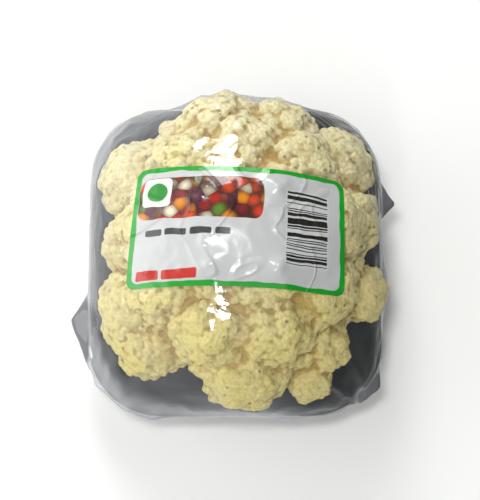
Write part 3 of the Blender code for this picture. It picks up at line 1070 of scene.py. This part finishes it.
# %% Bars
BARS_MIDDLE_MM = (27.5, 0.5)
BAR_ROW_MM = 0.42
BARS_DARK_ABOVE = 0.47
colour = printed(box_ink(*BARS_MIDDLE_MM, 17.5, 32.0, corner=0.3), colour, "#D2D5D5")
bar_row = calc(tree, "FLOOR", calc(tree, "DIVIDE", axes.outputs[1], BAR_ROW_MM))
bar_dice = add(tree, "ShaderNodeTexWhiteNoise", {"W": bar_row}, noise_dimensions="1D").outputs[0]
bar_dark = calc(tree, "GREATER_THAN", bar_dice, BARS_DARK_ABOVE)
bars = calc(tree, "MULTIPLY", bar_dark, box_ink(*BARS_MIDDLE_MM, 16.5, 30.5, corner=0.3))
colour = printed(bars, colour, "#1D1D1F")
print("bar rows of", BAR_ROW_MM, "mm")

# %% [markdown]
# The label is stiffer than the film, so it takes fewer and longer creases. They lie where a noise pattern
# crosses its middle value, over a soft ripple. The border's ink is opaque, and the pale print inside it is
# slightly see-through.

# %% Creased sheet
place = add(tree, "ShaderNodeTexCoord").outputs["Object"]
ripple = texture(tree, "Noise", place, 6 * MM, Detail=3.0).outputs["Fac"]
wrinkle = texture(tree, "Noise", place, 26 * MM, Detail=1.0, Distortion=0.4).outputs["Fac"]
to_line = calc(tree, "ABSOLUTE", calc(tree, "SUBTRACT", wrinkle, 0.5))
crease = ranged(tree, to_line, 0.0, 0.035, 1.0, 0.0)
paint = add(
    tree,
    "ShaderNodeBsdfPrincipled",
    {
        "Base Color": colour,
        "Roughness": 0.22,
        "IOR": 1.5,
        "Coat Weight": 0.25,
        "Coat Roughness": 0.08,
        "Normal": relief(tree, crease, 0.8, 0.5 * MM, normal=relief(tree, ripple, 0.4, 0.4 * MM)),
    },
)
clear = add(tree, "ShaderNodeBsdfTransparent").outputs[0]
ink_share = ranged(tree, field, 0, 1, 1.0, 0.88)
label_mix = add(tree, "ShaderNodeMixShader", {0: ink_share, 1: clear, 2: paint.outputs[0]})
add(tree, "ShaderNodeOutputMaterial", {"Surface": label_mix.outputs[0]})
label.data.materials.append(ink)
print("label material:", ink.name)

# %% [markdown]
# ## Floor and light
#
# The pack stands on a plain white sweep. Film shows its shape only by what it mirrors, so three small lights
# stand in a line from front to back, a little to the left, and draw a broken line of highlights. Two large
# ones, on the left and in front, model the curd. The sweep isn't mirrored in the film: there the film shows
# the room, as it would on a table top, and so its right side stays dark.

# %% Floor
FLOOR_REACH = 3.0
floor = object_from(
    "floor",
    [(FLOOR_REACH * x, FLOOR_REACH * y, 0) for x, y in ((-1, -1), (1, -1), (1, 1), (-1, 1))],
    [(0, 1, 2, 3)],
    smooth=False,
)
floor_paint, tree = new_material("white paper sweep")
shader = add(tree, "ShaderNodeBsdfPrincipled", {"Base Color": linear("#F7F7F5"), "Roughness": 0.9})
add(tree, "ShaderNodeOutputMaterial", {"Surface": shader.outputs[0]})
floor.data.materials.append(floor_paint)
floor.visible_glossy = False
print("floor:", 2 * FLOOR_REACH, "m wide")


# %% Lights
def soft_light(name, place, target, size, power):
    data = bpy.data.lights.new(name, "AREA")
    data.shape = "RECTANGLE"
    data.size, data.size_y = size
    data.energy = power
    light = bpy.data.objects.new(name, data)
    light.location = place
    light.rotation_euler = (Vector(target) - Vector(place)).to_track_quat("-Z", "Y").to_euler()
    bpy.context.scene.collection.objects.link(light)


LIGHTS = (
    # name, place in m, width and length in m, power in W
    ("overhead", (-0.13, 0.00, 1.05), (0.14, 0.20), 3.6),
    ("behind", (-0.16, 0.85, 0.62), (0.30, 0.50), 5.2),
    ("left", (-1.00, 0.10, 0.30), (0.90, 0.70), 3.6),
    ("front", (0.20, -0.80, 1.10), (1.30, 1.30), 3.1),
    ("window", (-0.16, -0.66, 0.72), (0.08, 0.10), 0.9),
)
LIT_MIDDLE = (0, 0, 60 * MM)
for name, place, size, power in LIGHTS:
    soft_light(name, place, LIT_MIDDLE, size, power)
print(len(LIGHTS), "lights")

# %% [markdown]
# The world is a plain room, brighter on the left than on the right and brighter low down than overhead. The
# film mirrors it, so it decides where the film looks pale and where it looks dark.

# %% Room
world = bpy.data.worlds.new("studio")
world.use_nodes = True
tree = world.node_tree
tree.nodes.clear()
toward = add(tree, "ShaderNodeSeparateXYZ", {0: add(tree, "ShaderNodeTexCoord").outputs["Generated"]})
walls = ranged(tree, toward.outputs["Z"], 0.15, 0.85, 0.62, 0.28)
sides = ranged(tree, toward.outputs["X"], -0.8, 0.8, 1.5, 0.2)
strength = calc(tree, "MULTIPLY", walls, sides)
room = add(tree, "ShaderNodeBackground", {"Color": linear("#FFFFFF"), "Strength": strength})
add(tree, "ShaderNodeOutputWorld", {"Surface": room.outputs[0]})
bpy.context.scene.world = world
bpy.context.scene.view_settings.view_transform = "Standard"
print("view transform:", bpy.context.scene.view_settings.view_transform)
